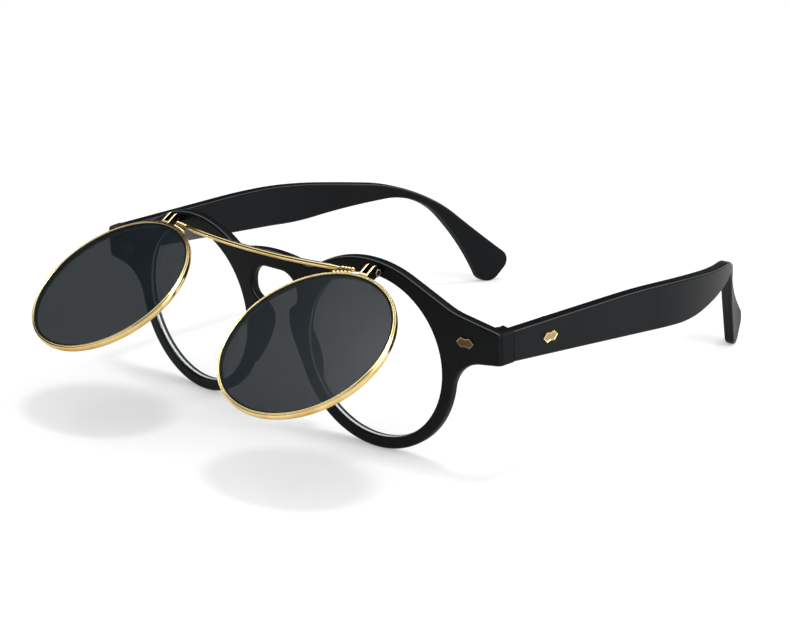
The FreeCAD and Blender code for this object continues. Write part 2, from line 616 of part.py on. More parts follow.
# Temples
def plate_edge(radius, thinning):
    """Plan corners of one face of the temple plate: straight, an arc in of a radius, an arc out past the tip.

    The face's end is moved outward by the thinning.
    """
    straight_x = "(%s + (%s - %s) * tan(%s))" % (TEMPLE_X, STRAIGHT_Y, TEMPLE_START, SPLAY)
    middle_x = "(%s - size.temple_curve * cos(%s))" % (straight_x, SPLAY)
    middle_y = "(%s + size.temple_curve * sin(%s))" % (STRAIGHT_Y, SPLAY)
    flare_x = "(%s + (size.temple_curve + size.tip_flare) * cos(%s))" % (middle_x, TOE_IN)
    flare_y = "(%s + (size.temple_curve + size.tip_flare) * sin(%s))" % (middle_y, TOE_IN)
    past_tip = "(%s + size.temple_thickness)" % TIP_REAR_Y
    flare_radius = "(size.tip_flare + size.temple_curve - %s)" % radius
    flare_end = "asin((%s - %s) / %s)" % (flare_y, past_tip, flare_radius)
    ahead = "(%s - %s)" % (middle_y, TEMPLE_START)
    start_x = "%s + %s / cos(%s) - %s * tan(%s)" % (middle_x, radius, SPLAY, ahead, SPLAY)
    at_start, at_bend = "(%s * cos(%s))" % (radius, SPLAY), "(%s * sin(%s))" % (radius, SPLAY)
    return [
        (start_x, TEMPLE_START),
        ("%s + %s" % (middle_x, at_start), "%s - %s" % (middle_y, at_bend)),
        ("%s + %s * cos(%s)" % (middle_x, radius, TOE_IN), "%s + %s * sin(%s)" % (middle_y, radius, TOE_IN)),
        ("%s - %s * cos(%s) + %s" % (flare_x, flare_radius, flare_end, thinning), past_tip),
    ]


def make_temple():
    """A plastic temple: its side outline, cut to the plan of a plate that curves in to the ear."""
    temple = body("temple")
    start, ear = (TEMPLE_START, "(size.hinge_height + size.temple_top)"), (EAR_Y, "size.ear_height")
    fall, fall_arc = softened(start, (BROW_LINE_Y, "size.brow_line_height"), ear, "size.brow_line_round")
    corners = [
        start,
        fall[0],
        fall[1],
        ear,
        (TIP_REAR_Y, "size.tip_rear_height"),
        ("(%s + size.tip_low_depth)" % EAR_Y, "size.tip_low_height"),
        ("(%s - size.crook_depth)" % EAR_Y, "size.crook_height"),
        ("(%s + size.belly_depth)" % BROW_LINE_Y, "size.belly_height"),
        (TEMPLE_START, "(size.hinge_height - size.temple_low)"),
    ]
    side = sketch_on(temple, "YZ_Plane", "temple_side")
    draw(side, corners, {1: fall_arc, 3: ("size.tip_rear_hollow", -1), 5: ("size.tip_front_hollow", -1)})
    pad(temple, side, "4 * " + TEMPLE_X, both_ways=True)
    rounds = ["size.ear_round", "size.tip_rear_round", "size.tip_low_round", "size.crook_round",
              "size.belly_round"]
    for number, radius in enumerate(rounds, start=corners.index(ear)):
        round_corner(temple, "temple_round_%d" % number, radius, "yz", corners[number])
    inner_radius = "(size.temple_curve - size.temple_thickness)"
    outer = plate_edge("size.temple_curve", "0")
    inner = plate_edge(inner_radius, "(size.temple_thickness - size.tip_thickness)")
    inner_flare = "(size.tip_flare + size.temple_thickness)"
    keep_inside(temple, "XY_Plane", "temple_plan", outer + inner[::-1], {
        1: ("size.temple_curve", -1), 2: ("size.tip_flare", 1), 4: (inner_flare, -1), 5: (inner_radius, 1)})
    round_edges(temple, "temple_edge", "size.temple_edge_round", is_long_edge)
    hole_start = -value("size.temple_thickness") / 2
    bored(temple, "rivet_hole_t", RIVET_HOLE, "2 * size.temple_thickness",
          on_temple(*TEMPLE_RIVET, hole_start))
    return temple, Placement()


def is_long_edge(edge):
    """Whether an edge runs along the plate, not across it, up it or round its hinge end."""
    spots = spots_on(edge)
    at_hinge = all(abs(spot.y - value(TEMPLE_START)) < NEAR for spot in spots)
    upright = all(math.hypot(spot.x - spots[0].x, spot.y - spots[0].y) < NEAR for spot in spots)
    across = all(math.hypot(spot.y - spots[0].y, spot.z - spots[0].z) < NEAR for spot in spots)
    return not (at_hinge or upright or across)


# Temple hinge
def hinge_axis(heading):
    """The middle of the temple hinge, its X axis along a heading."""
    spot = Vector(value(HINGE_X), value("size.hinge_plane"), value("size.hinge_height"))
    return Placement(spot, Rotation(Vector(0, 0, 1), heading))


def add_block(piece, name, low, high, height, middle):
    """A block over a rectangle of the plan, its height about a middle."""
    sketch = sketch_on(piece, "XY_Plane", name)
    sketch.AttachmentOffset = Placement(Vector(0, 0, value(middle)), Rotation())
    draw(sketch, rectangle(low[0], low[1], high[0], high[1]))
    pad(piece, sketch, height, both_ways=True)


def add_knuckle(piece, name, middle):
    """A solid knuckle round the hinge axis."""
    sketch = sketch_on(piece, "XY_Plane", name)
    sketch.AttachmentOffset = Placement(Vector(0, 0, value(middle)), Rotation())
    circle(sketch, "0", "0", "size.barrel_radius")
    pad(piece, sketch, "size.knuckle_height", both_ways=True)


def bore_hinge(piece, name):
    """The screw's hole along the hinge axis."""
    tall = "6 * size.knuckle_height"
    bored(piece, name, BORE, tall, Placement(Vector(0, 0, -value(tall) / 2), Rotation()))


def make_front_leaf():
    """The metal leaf riveted behind the end piece, with the middle knuckle."""
    leaf = body("front_hinge_leaf")
    bed = "(size.seat_gap - (size.hinge_plane - %s) * %s)" % (back_depth(HINGE_X), COSINE)
    top = "(%s + size.leaf_thickness)" % bed
    add_block(leaf, "leaf_plate_f", ("-size.front_leaf_length", bed), ("-" + BARREL_ROOM, top),
              "size.leaf_height", "0")
    add_block(leaf, "leaf_web_f", ("-size.front_leaf_length / 2", bed), ("0", top),
              "size.knuckle_height", "0")
    add_block(leaf, "leaf_post_f", ("-size.barrel_radius / 2", bed), ("0", "0"), "size.knuckle_height", "0")
    add_knuckle(leaf, "leaf_knuckle_f", "0")
    bore_hinge(leaf, "leaf_bore_f")
    place = hinge_axis(value("size.wrap"))
    through = on_front(*FRONT_RIVET)
    bored(leaf, "leaf_rivet_f", RIVET_HOLE, "4 * size.front_thickness", place.inverse().multiply(through))
    return leaf, place


def make_temple_leaf():
    """The metal leaf riveted inside the temple, with the upper and lower knuckles."""
    leaf = body("temple_hinge_leaf")
    lean = "((%s - %s) * cos(%s) - (%s - size.hinge_plane) * sin(%s))" % (
        TEMPLE_X, HINGE_X, SPLAY, TEMPLE_START, SPLAY)
    bed = "(%s - size.temple_thickness - size.seat_gap)" % lean
    face = "(%s - size.leaf_thickness)" % bed
    add_block(leaf, "leaf_plate_t", (face, BARREL_ROOM), (bed, "size.temple_leaf_length"),
              "size.leaf_height", "0")
    for side, sign in (("low", "-"), ("top", "")):
        middle = sign + KNUCKLE_PITCH
        add_block(leaf, "leaf_web_t_" + side, (face, "0"), (bed, "size.temple_leaf_length / 3"),
                  "size.knuckle_height", middle)
        add_knuckle(leaf, "leaf_knuckle_t_" + side, middle)
    bore_hinge(leaf, "leaf_bore_t")
    place = hinge_axis(-value("size.temple_splay"))
    through = on_temple(*TEMPLE_RIVET)
    bored(leaf, "leaf_rivet_t", RIVET_HOLE, "4 * size.temple_thickness", place.inverse().multiply(through))
    return leaf, place


def make_hinge_screw():
    """The screw through the three knuckles, its head on top."""
    screw = body("hinge_screw")
    low = "(-1.5 * size.knuckle_height - size.knuckle_gap)"
    under = "(1.5 * size.knuckle_height + size.knuckle_gap + size.seat_gap)"
    top = "(%s + size.screw_head_height)" % under
    turned(screw, "screw_side", [
        ("0", low), ("size.screw_radius", low), ("size.screw_radius", under),
        ("size.screw_head_radius", under), ("size.screw_head_radius", top), ("0", top),
    ])
    return screw, hinge_axis(0)


def make_rivet(name, grip, place):
    """A flat double-arrow head on a round shank that holds a hinge leaf."""
    rivet = body(name)
    half, shoulder = "(size.rivet_length / 2)", "(size.rivet_length / 2 - size.rivet_point)"
    wide, waist = "(size.rivet_width / 2)", "(size.rivet_waist / 2)"
    head = sketch_on(rivet, "XY_Plane", name + "_head")
    head.AttachmentOffset = Placement(Vector(0, 0, -value("size.seat_gap")), Rotation())
    draw(head, [
        (half, "0"), (shoulder, wide), ("0", waist), ("-" + shoulder, wide),
        ("-" + half, "0"), ("-" + shoulder, "-" + wide), ("0", "-" + waist), (shoulder, "-" + wide),
    ])
    pad(rivet, head, "size.rivet_stand", backwards=True)
    shank = sketch_on(rivet, "XY_Plane", name + "_shank")
    shank.AttachmentOffset = head.AttachmentOffset
    circle(shank, "0", "0", "size.rivet_shank")
    pad(rivet, shank, grip + " + 2 * size.seat_gap + size.leaf_thickness")
    return rivet, place


# Flip hinge, in a frame on the flip axis with the clip hanging closed
def flip_place(across="0"):
    """The flip axis on the front."""
    return Placement(Vector(value(across), value(FLIP_AXIS_Y), value(FLIP_HEIGHT)), Rotation())


def clip_place(across="0"):
    """The flip axis with the clip swung up to its photographed angle."""
    swing = Rotation(Vector(1, 0, 0), -value("size.clip_open"))
    return flip_place(across).multiply(Placement(Vector(), swing))


def clip_lens_place(depth):
    """The tinted lens's axis in the clip, its Z axis pointing back; a depth behind the lens plane."""
    drop = "size.clip_reach + " + CLIP_RIM_RADIUS
    middle = Vector(value(CLIP_X), -value("size.clip_forward"), -value(drop))
    return on_face(middle, value("size.clip_wrap"), depth)


def make_flip_knuckle():
    """The eye on the front, its tang let into the slot over the lens."""
    knuckle = body("flip_knuckle")
    half = "(size.flip_tang_height / 2)"
    tang = sketch_on(knuckle, "YZ_Plane", "knuckle_tang")
    draw(tang, rectangle("0", "-" + half, "size.flip_axis_stand + size.flip_tang_depth", half))
    pad(knuckle, tang, "size.flip_knuckle_width", both_ways=True)
    eye = sketch_on(knuckle, "YZ_Plane", "knuckle_eye")
    circle(eye, "0", "0", "size.flip_eye_radius")
    pad(knuckle, eye, "size.flip_knuckle_width", both_ways=True)
    bored(knuckle, "knuckle_bore", FLIP_BORE, "2 * size.flip_knuckle_width",
          Placement(Vector(-value("size.flip_knuckle_width"), 0, 0), Rotation(Vector(0, 1, 0), 90)))
    return knuckle, flip_place(FLIP_X)


def make_flip_fork():
    """The bracket on the eyewire: two leaves beside the knuckle, joined by a base."""
    fork = body("flip_fork")
    corners = [
        ("-size.fork_reach", "-size.clip_reach - size.fork_base"),
        ("size.flip_eye_radius", "-size.clip_reach - size.fork_base"),
        ("size.flip_eye_radius", "size.flip_eye_radius"),
        ("-size.fork_reach", "size.flip_eye_radius"),
    ]
    side = sketch_on(fork, "YZ_Plane", "fork_side")
    draw(side, corners)
    pad(fork, side, "2 * " + FORK_OUTSIDE, both_ways=True)
    round_corner(fork, "fork_rear_round", "size.flip_eye_radius", "yz", corners[2])
    round_corner(fork, "fork_front_round", "size.fork_round", "yz", corners[3])
    middle = sketch_on(fork, "XZ_Plane", "fork_middle")
    draw(middle, rectangle("-" + FORK_INSIDE, "size.fork_base - size.clip_reach",
                           FORK_INSIDE, "2 * size.flip_eye_radius"))
    pocket(fork, middle)
    wide = "4 * " + FORK_OUTSIDE
    bored(fork, "fork_bore", FLIP_BORE, wide,
          Placement(Vector(-value(wide) / 2, 0, 0), Rotation(Vector(0, 1, 0), 90)))
    shift = Placement(Vector(-value(FLIP_X), 0, 0), Rotation())
    bored(fork, "fork_seat", CLIP_RIM_RADIUS + " + size.seat_gap", "4 * size.clip_rim_depth",
          shift.multiply(clip_lens_place(-2 * value("size.clip_rim_depth"))))
    return fork, clip_place(FLIP_X)


def make_flip_pin():
    """The pin of the flip hinge, its head outside, its tail spread flush inside."""
    pin = body("flip_pin")
    under = "(%s + size.seat_gap)" % FORK_OUTSIDE
    top = "(%s + size.flip_head_height)" % under
    turned(pin, "pin_side", [
        ("0", "-" + under), ("size.flip_pin_radius", "-" + under), ("size.flip_pin_radius", under),
        ("size.flip_head_radius", under), ("size.flip_head_radius", top), ("0", top),
    ])
    along_axis = Placement(Vector(), Rotation(Vector(0, 1, 0), 90))
    return pin, clip_place(FLIP_X).multiply(along_axis)


def make_flip_rim():
    """A metal eyewire with a lens groove inside and bevels outside."""
    rim = body("flip_rim")
    front, rear = "(-size.clip_rim_lip)", "(size.clip_rim_depth - size.clip_rim_lip)"
    bevel = "size.clip_rim_bevel"
    slot = "(size.tint_thickness / 2 + size.tint_clearance)"
    inside, outside = "size.clip_lens_radius", CLIP_RIM_RADIUS
    deep = "(size.clip_lens_radius + size.clip_groove_depth)"
    turned(rim, "eyewire", [
        (inside, front), (outside + " - " + bevel, front), (outside, "%s + %s" % (front, bevel)),
        (outside, "%s - %s" % (rear, bevel)), (outside + " - " + bevel, rear), (inside, rear),
        (inside, slot), (deep, slot), (deep, "-" + slot), (inside, "-" + slot),
    ])
    return rim, clip_place().multiply(clip_lens_place(0))


def make_tinted_lens():
    """A flat tinted lens in the eyewire's groove."""
    lens = doc.addObject("Part::Cylinder", "tinted_lens")
    lens.setExpression("Radius", "size.clip_lens_radius + size.clip_groove_depth - size.tint_clearance")
    lens.setExpression("Height", "size.tint_thickness")
    return lens, clip_place().multiply(clip_lens_place(-value("size.tint_thickness") / 2))


def bar(name, radius):
    """A round bar bowed down in the middle, in the clip's frame."""
    curve = doc.addObject("Part::Torus", name)
    curve.setExpression("Radius1", BAR_RISE)
    curve.setExpression("Radius2", radius)
    curve.setExpression("Angle3", BAR_ANGLE)
    middle = Vector(0, -value("size.clip_forward"), value("%s - %s" % (BAR_RISE, BAR_LOW)))
    down_first = Rotation(Vector(0, 0, -1), Vector(-1, 0, 0), Vector(0, 1, 0), "ZXY")
    centred = Rotation(Vector(0, 0, 1), -value(BAR_ANGLE) / 2)
    return curve, Placement(middle, down_first.multiply(centred))


def make_bar_block():
    """A small block soldered between the top bar and an eyewire."""
    blank = doc.addObject("Part::Box", "block_blank")
    blank.setExpression("Length", "size.block_length")
    blank.setExpression("Width", "size.block_depth")
    blank.setExpression("Height", "2 * size.clip_reach")
    inner_end = "(%s - size.block_out - size.block_length / 2)" % BAR_HALF
    bar_height = "%s - sqrt(%s^2 - %s^2) - %s" % (BAR_RISE, BAR_RISE, inner_end, BAR_LOW)
    blank.Placement = Placement(Vector(value(inner_end), -value("size.clip_forward + size.block_depth / 2"),
                                       value(bar_height + " - 2 * size.clip_reach")), Rotation())
    bar_room, bar_room.Placement = bar("bar_room", "size.bar_radius + size.seat_gap")
    rim_room = doc.addObject("Part::Cylinder", "rim_room")
    rim_room.setExpression("Radius", CLIP_RIM_RADIUS + " + size.seat_gap")
    rim_room.setExpression("Height", "4 * size.clip_rim_depth")
    rim_room.Placement = clip_lens_place(-2 * value("size.clip_rim_depth"))
    under_bar = doc.addObject("Part::Cut", "block_under_bar")
    under_bar.Base, under_bar.Tool = blank, bar_room
    block = doc.addObject("Part::Cut", "bar_block")
    block.Base, block.Tool = under_bar, rim_room
    doc.recompute()
    return block, clip_place()


# Pieces of one side; the other side is their mirror image
front_half = make_front()
pieces = {
    "clear_lens": make_clear_lens(),
    "nose_pad": make_nose_pad(),
    "temple": make_temple(),
    "front_hinge_leaf": make_front_leaf(),
    "temple_hinge_leaf": make_temple_leaf(),
    "hinge_screw": make_hinge_screw(),
    "front_rivet": make_rivet("front_rivet", "size.front_thickness",
                              on_front(*FRONT_RIVET)),
    "temple_rivet": make_rivet("temple_rivet", "size.temple_thickness",
                               on_temple(*TEMPLE_RIVET)),
    "flip_knuckle": make_flip_knuckle(),
    "flip_fork": make_flip_fork(),
    "flip_pin": make_flip_pin(),
    "flip_rim": make_flip_rim(),
    "tinted_lens": make_tinted_lens(),
    "bar_block": make_bar_block(),
}


def mirrored(source, name):
    """The mirror image of a piece on the other side of the nose."""
    image = doc.addObject("Part::Mirroring", name)
    image.Source = source
    image.Normal = Vector(1, 0, 0)
    return image


front_frame = doc.addObject("Part::MultiFuse", "front_frame")
front_frame.Shapes = [front_half, mirrored(front_half, "front_other_half")]
front_frame.Refine = True
top_bar, bar_place = bar("top_bar", "size.bar_radius")
doc.recompute()


# The floor: the rims' lowest points and the temple tips rest on it
def lowest(points, tilt):
    """The lowest height of points after a turn about the X axis."""
    return min(point.y * math.sin(tilt) + point.z * math.cos(tilt) for point in points)


def resting_tilt():
    """The turn that brings rims and temple tips down to one level."""
    front_points = front_frame.Shape.tessellate(NEAR)[0]
    temple_points = pieces["temple"][0].Shape.tessellate(NEAR)[0]
    low, high = math.radians(-20), math.radians(20)
    for _ in range(50):
        tilt = (low + high) / 2
        if lowest(temple_points, tilt) < lowest(front_points, tilt):
            low = tilt
        else:
            high = tilt
    return tilt


tilt = resting_tilt()
stand = Placement(Vector(0, 0, 0), Rotation(Vector(1, 0, 0), math.degrees(tilt)))
nodes = {"front_frame": front_frame, "top_bar": top_bar}
front_frame.Placement = stand
top_bar.Placement = stand.multiply(clip_place()).multiply(bar_place)
for name, (piece, place) in pieces.items():
    piece.Placement = stand.multiply(place)
    nodes[name + "_left"] = piece
    nodes[name + "_right"] = mirrored(piece, name + "_right")
doc.recompute()
boxes = [node.Shape.optimalBoundingBox(False, False) for node in nodes.values()]
depth_middle = (min(box.YMin for box in boxes) + max(box.YMax for box in boxes)) / 2
floor = Vector(0, -depth_middle, -min(box.ZMin for box in boxes))
for name, node in nodes.items():
    if not name.endswith("_right"):
        node.Placement = Placement(floor, Rotation()).multiply(node.Placement)
doc.recompute()

for thing in doc.Objects:
    if "Invalid" in thing.State or "Error" in thing.State:
        raise RuntimeError("%s is not sound: %s" % (thing.Name, thing.State))
os.makedirs("parts", exist_ok=True)
for name, node in nodes.items():
    node.Label = name
    if node.Shape.isNull() or not node.Shape.isValid() or len(node.Shape.Solids) != 1:
        raise RuntimeError(name + " is not one sound solid")
    node.Shape.exportStep("parts/%s.step" % name)
print("tilt %.3f, floor %s, %d pieces" % (math.degrees(tilt), floor, len(nodes)))
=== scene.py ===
# %% [markdown]
# # Round flip-up sunglasses
# A matte black plastic frame carries a gold wire clip with smoke-grey lenses, here flipped up.
# The shapes come from the CAD model, which is loaded as a fixed frame. This lesson adds what the eye
# judges by: the finish of each part, the small worked details, the floor, the light and the camera.
# Everything is in metres, in the CAD model's own frame.

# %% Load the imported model
import math
import bmesh
import bpy
from mathutils import Matrix, Vector


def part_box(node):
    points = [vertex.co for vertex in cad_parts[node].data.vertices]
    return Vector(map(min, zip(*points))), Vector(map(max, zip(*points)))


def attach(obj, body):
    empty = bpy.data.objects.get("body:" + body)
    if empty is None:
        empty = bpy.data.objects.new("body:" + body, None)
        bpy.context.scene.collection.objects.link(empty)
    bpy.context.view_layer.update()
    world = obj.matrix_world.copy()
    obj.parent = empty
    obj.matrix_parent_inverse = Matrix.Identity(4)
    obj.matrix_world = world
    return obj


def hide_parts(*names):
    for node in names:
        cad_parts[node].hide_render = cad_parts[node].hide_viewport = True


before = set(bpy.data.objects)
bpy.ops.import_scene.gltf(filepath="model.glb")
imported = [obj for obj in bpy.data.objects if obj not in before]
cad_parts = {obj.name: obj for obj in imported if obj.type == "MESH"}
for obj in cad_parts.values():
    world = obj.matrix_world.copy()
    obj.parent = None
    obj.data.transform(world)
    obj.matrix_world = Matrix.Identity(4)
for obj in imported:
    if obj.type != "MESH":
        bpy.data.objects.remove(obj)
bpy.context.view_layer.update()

MM = 0.001
# Most pieces come in pairs, named for the wearer's sides. The number is the way out from the middle on X.
OUTWARD = {"_left": 1, "_right": -1}
studio = bpy.context.scene

# %% [markdown]
# ## The camera
# The glasses stand three-quarter to the camera, seen from a little above. The camera's place and turn
# were worked out from the frame's known sizes, so that the model falls on the picture of the real one.
# A long lens is used, as for any small product, so that the near rim isn't swollen.

# %% Camera
CAMERA_PLACE = (0.3798, -0.41736, 0.1893)
CAMERA_TURN = (73.1637, -0.5642, 42.8554)
FOCAL_LENGTH, SENSOR_WIDTH = 97.382, 36

camera_data = bpy.data.cameras.new("camera")
camera_data.sensor_width = SENSOR_WIDTH
camera_data.lens = FOCAL_LENGTH
camera = bpy.data.objects.new("camera", camera_data)
camera.location = CAMERA_PLACE
camera.rotation_euler = [math.radians(angle) for angle in CAMERA_TURN]
studio.collection.objects.link(camera)
studio.camera = camera
studio.view_settings.view_transform = "Standard"

# %% [markdown]
# ## Colours and nodes
# Colours are written as the hex values that a paint program shows. Blender's shaders count light
# instead, so one function turns hex into linear numbers. A second small function adds a shader node,
# sets its properties, and sets or links its sockets, so that a material reads from top to bottom.

# %% Helpers for materials
def linear(code):
    """An sRGB hex colour as linear red, green, blue and alpha."""
    channels = [int(code[start:start + 2], 16) / 255 for start in (1, 3, 5)]
    light = [c / 12.92 if c <= 0.04045 else ((c + 0.055) / 1.055) ** 2.4 for c in channels]
    return (*light, 1.0)


def add(tree, kind, inputs, **properties):
    """Add one node; an input is a value for a socket, or another node's output to link to it."""
    node = tree.nodes.new("ShaderNode" + kind)
    for name, value in properties.items():
        setattr(node, name, value)
    for name, value in inputs.items():
        if isinstance(value, bpy.types.NodeSocket):
            tree.links.new(value, node.inputs[name])
        else:
            node.inputs[name].default_value = value
    return node


def new_material(name):
    """An empty node material and its tree."""
    material = bpy.data.materials.new(name)
    material.use_nodes = True
    material.node_tree.nodes.clear()
    return material, material.node_tree


def scale_for(size_mm):
    """The texture scale at which one grain of a pattern is this many millimetres wide."""
    return 1 / (size_mm * MM)


# The Mix node has a set of sockets for each kind of data; these are the ones for colours.
FACTOR, COLOUR_A, COLOUR_B, COLOUR_OUT = 0, 6, 7, 2
print("half of white in hex is", round(linear("#808080")[0], 3), "of its light")

# %% [markdown]
# ## Floor
# The real one stands on white, so the floor is a wide sheet of white paint. What the paint lacks to full
# white is made up for rays that come from the camera or by way of metal and glass, and the soft shadows
# stay. A sheet that only glows would be simpler, but it would show no shadow.

# %% Floor
FLOOR_HALF = 6.0
floor_mesh = bpy.data.meshes.new("floor")
floor_bm = bmesh.new()
bmesh.ops.create_grid(floor_bm, x_segments=2, y_segments=2, size=FLOOR_HALF)
floor_bm.to_mesh(floor_mesh)
floor_bm.free()
floor = bpy.data.objects.new("floor", floor_mesh)
studio.collection.objects.link(floor)
print("floor", 2 * FLOOR_HALF, "m wide")

# %% Paint of the floor
FLOOR_GLOW = 0.35


def seen_as_background(tree):
    """An output that is 1 for rays from the camera or by way of metal and glass, and 0 for other light."""
    path = add(tree, "LightPath", {})
    seen = path.outputs["Is Camera Ray"]
    for ray in ("Is Glossy Ray", "Is Transmission Ray"):
        seen = add(tree, "Math", {0: seen, 1: path.outputs[ray]}, operation="MAXIMUM").outputs[0]
    return seen


white_paint, tree = new_material("white_painted_floor")
glow_share = add(tree, "Math", {0: seen_as_background(tree), 1: FLOOR_GLOW}, operation="MULTIPLY")
paint = add(tree, "BsdfDiffuse", {"Color": linear("#f6f6f6")})
glow = add(tree, "Emission", {"Color": linear("#ffffff"), "Strength": 1.0})
mixed = add(tree, "MixShader", {0: glow_share.outputs[0], 1: paint.outputs[0], 2: glow.outputs[0]})
add(tree, "OutputMaterial", {"Surface": mixed.outputs[0]})
floor_mesh.materials.append(white_paint)
print("made", white_paint.name)

# %% [markdown]
# ## White walls
# A studio with white walls gives an even light from all round. In Blender that is the world. The camera,
# metal and glass see it as full white, and its light on the object is set apart from that.

# %% World
WALL_LIGHT = 0.83
world = bpy.data.worlds.new("white_studio")
studio.world = world
world.use_nodes = True
tree = world.node_tree
tree.nodes.clear()
walls = add(tree, "Background", {"Color": linear("#ffffff"), "Strength": WALL_LIGHT})
backdrop = add(tree, "Background", {"Color": linear("#ffffff"), "Strength": 1.0})
mixed = add(tree, "MixShader", {0: seen_as_background(tree), 1: walls.outputs[0], 2: backdrop.outputs[0]})
add(tree, "OutputWorld", {"Surface": mixed.outputs[0]})
print("the walls give", WALL_LIGHT, "of full white")

# %% [markdown]
# ## Lamps
# A lamp overhead, leaning a little to the right, lets the lifted lenses throw soft shadows almost straight
# down. A softbox at the right lights the outer side of the near temple and the right edges of the rims. A
# small lamp stands where the near tinted lens mirrors it to the camera, and lays a soft glow on its right
# half. All three are hung by one function, because they differ only in kind, place and strength.

# %% Lamps
def hang_lamp(name, kind, strength, place, aim):
    """Hang a lamp at a place, turned to its aim, and return its data for the settings of its kind."""
    data = bpy.data.lights.new(name, kind)
    data.energy = strength
    lamp = bpy.data.objects.new(name, data)
    lamp.location = place
    lamp.rotation_euler = (Vector(aim) - Vector(place)).to_track_quat("-Z", "Z").to_euler()
    studio.collection.objects.link(lamp)
    return data


# The overhead lamp counts as far away: only its way matters, and its spread sets how soft the shadows are.
OVERHEAD_SPREAD = 11.0
overhead = hang_lamp("overhead_lamp", "SUN", strength=0.8, place=(0.10, 0.09, 1.0), aim=(0, 0, 0))
overhead.angle = math.radians(OVERHEAD_SPREAD)

SOFTBOX_WIDTH, SOFTBOX_HEIGHT = 0.36, 0.24
softbox = hang_lamp("softbox", "AREA", strength=1.6, place=(0.42, 0.16, 0.20), aim=(0.06, 0.03, 0.03))
softbox.shape = "RECTANGLE"
softbox.size, softbox.size_y = SOFTBOX_WIDTH, SOFTBOX_HEIGHT

GLINT_WIDTH = 0.10
glint = hang_lamp("glint_lamp", "AREA", strength=0.24, place=(-0.395, -0.12, 0.685),
                  aim=(0.05, -0.08, 0.033))
glint.shape = "DISK"
glint.size = GLINT_WIDTH
print("lamps", [(lamp.name, round(lamp.energy, 2)) for lamp in (overhead, softbox, glint)])

# %% [markdown]
# ## Dark tent
# In an all-white room polished gold goes flat and black plastic goes grey, because both show what is round
# them. Photographers hang black cards at the sides. Here a ring of black felt stands round the table,
# open at the top. Only reflections see it, so the background stays white.

# %% Dark tent
TENT_RADIUS, TENT_LOW, TENT_HIGH, TENT_SIDES = 1.3, 0.05, 1.0, 48
# The level top faces mirror the side away from the camera, so the felt stands higher there.
TENT_RISE, FAR_SIDE, RISE_POWER = 1.1, math.radians(133), 4
tent_spots = []
for step in range(TENT_SIDES):
    angle = 2 * math.pi * step / TENT_SIDES
    spot = (TENT_RADIUS * math.cos(angle), TENT_RADIUS * math.sin(angle))
    rise = TENT_RISE * max(0, math.cos(angle - FAR_SIDE)) ** RISE_POWER
    tent_spots += [(*spot, TENT_LOW), (*spot, TENT_HIGH + rise)]
tent_faces = [(low, (low + 2) % len(tent_spots), (low + 3) % len(tent_spots), low + 1)
              for low in range(0, len(tent_spots), 2)]
tent_mesh = bpy.data.meshes.new("dark_tent")
tent_mesh.from_pydata(tent_spots, [], tent_faces)
tent = bpy.data.objects.new("dark_tent", tent_mesh)
studio.collection.objects.link(tent)
for ray in ("camera", "diffuse", "transmission", "volume_scatter", "shadow"):
    setattr(tent, "visible_" + ray, False)
black_felt, tree = new_material("black_felt")
felt = add(tree, "BsdfDiffuse", {"Color": linear("#1c1c1c")})
add(tree, "OutputMaterial", {"Surface": felt.outputs[0]})
tent_mesh.materials.append(black_felt)
print("dark tent", len(tent_mesh.polygons), "faces")

# %% [markdown]
# ## Sand-finished black plastic
# The front, the temples and the nose pads are moulded nylon, tumbled or blasted to a fine sand finish.
# It is nearly black, with a broad soft sheen instead of a sharp reflection. Its rounded edges that face up
# carry a painted highlight, a paler colour where the light from above would catch them. The grain of such a
# finish is about 0.1 mm, less than a pixel here, so it is drawn at three times that.

# %% Black plastic
SAND_GRAIN = 0.32
CLOUD_SIZE = 9.0
plastics = {}
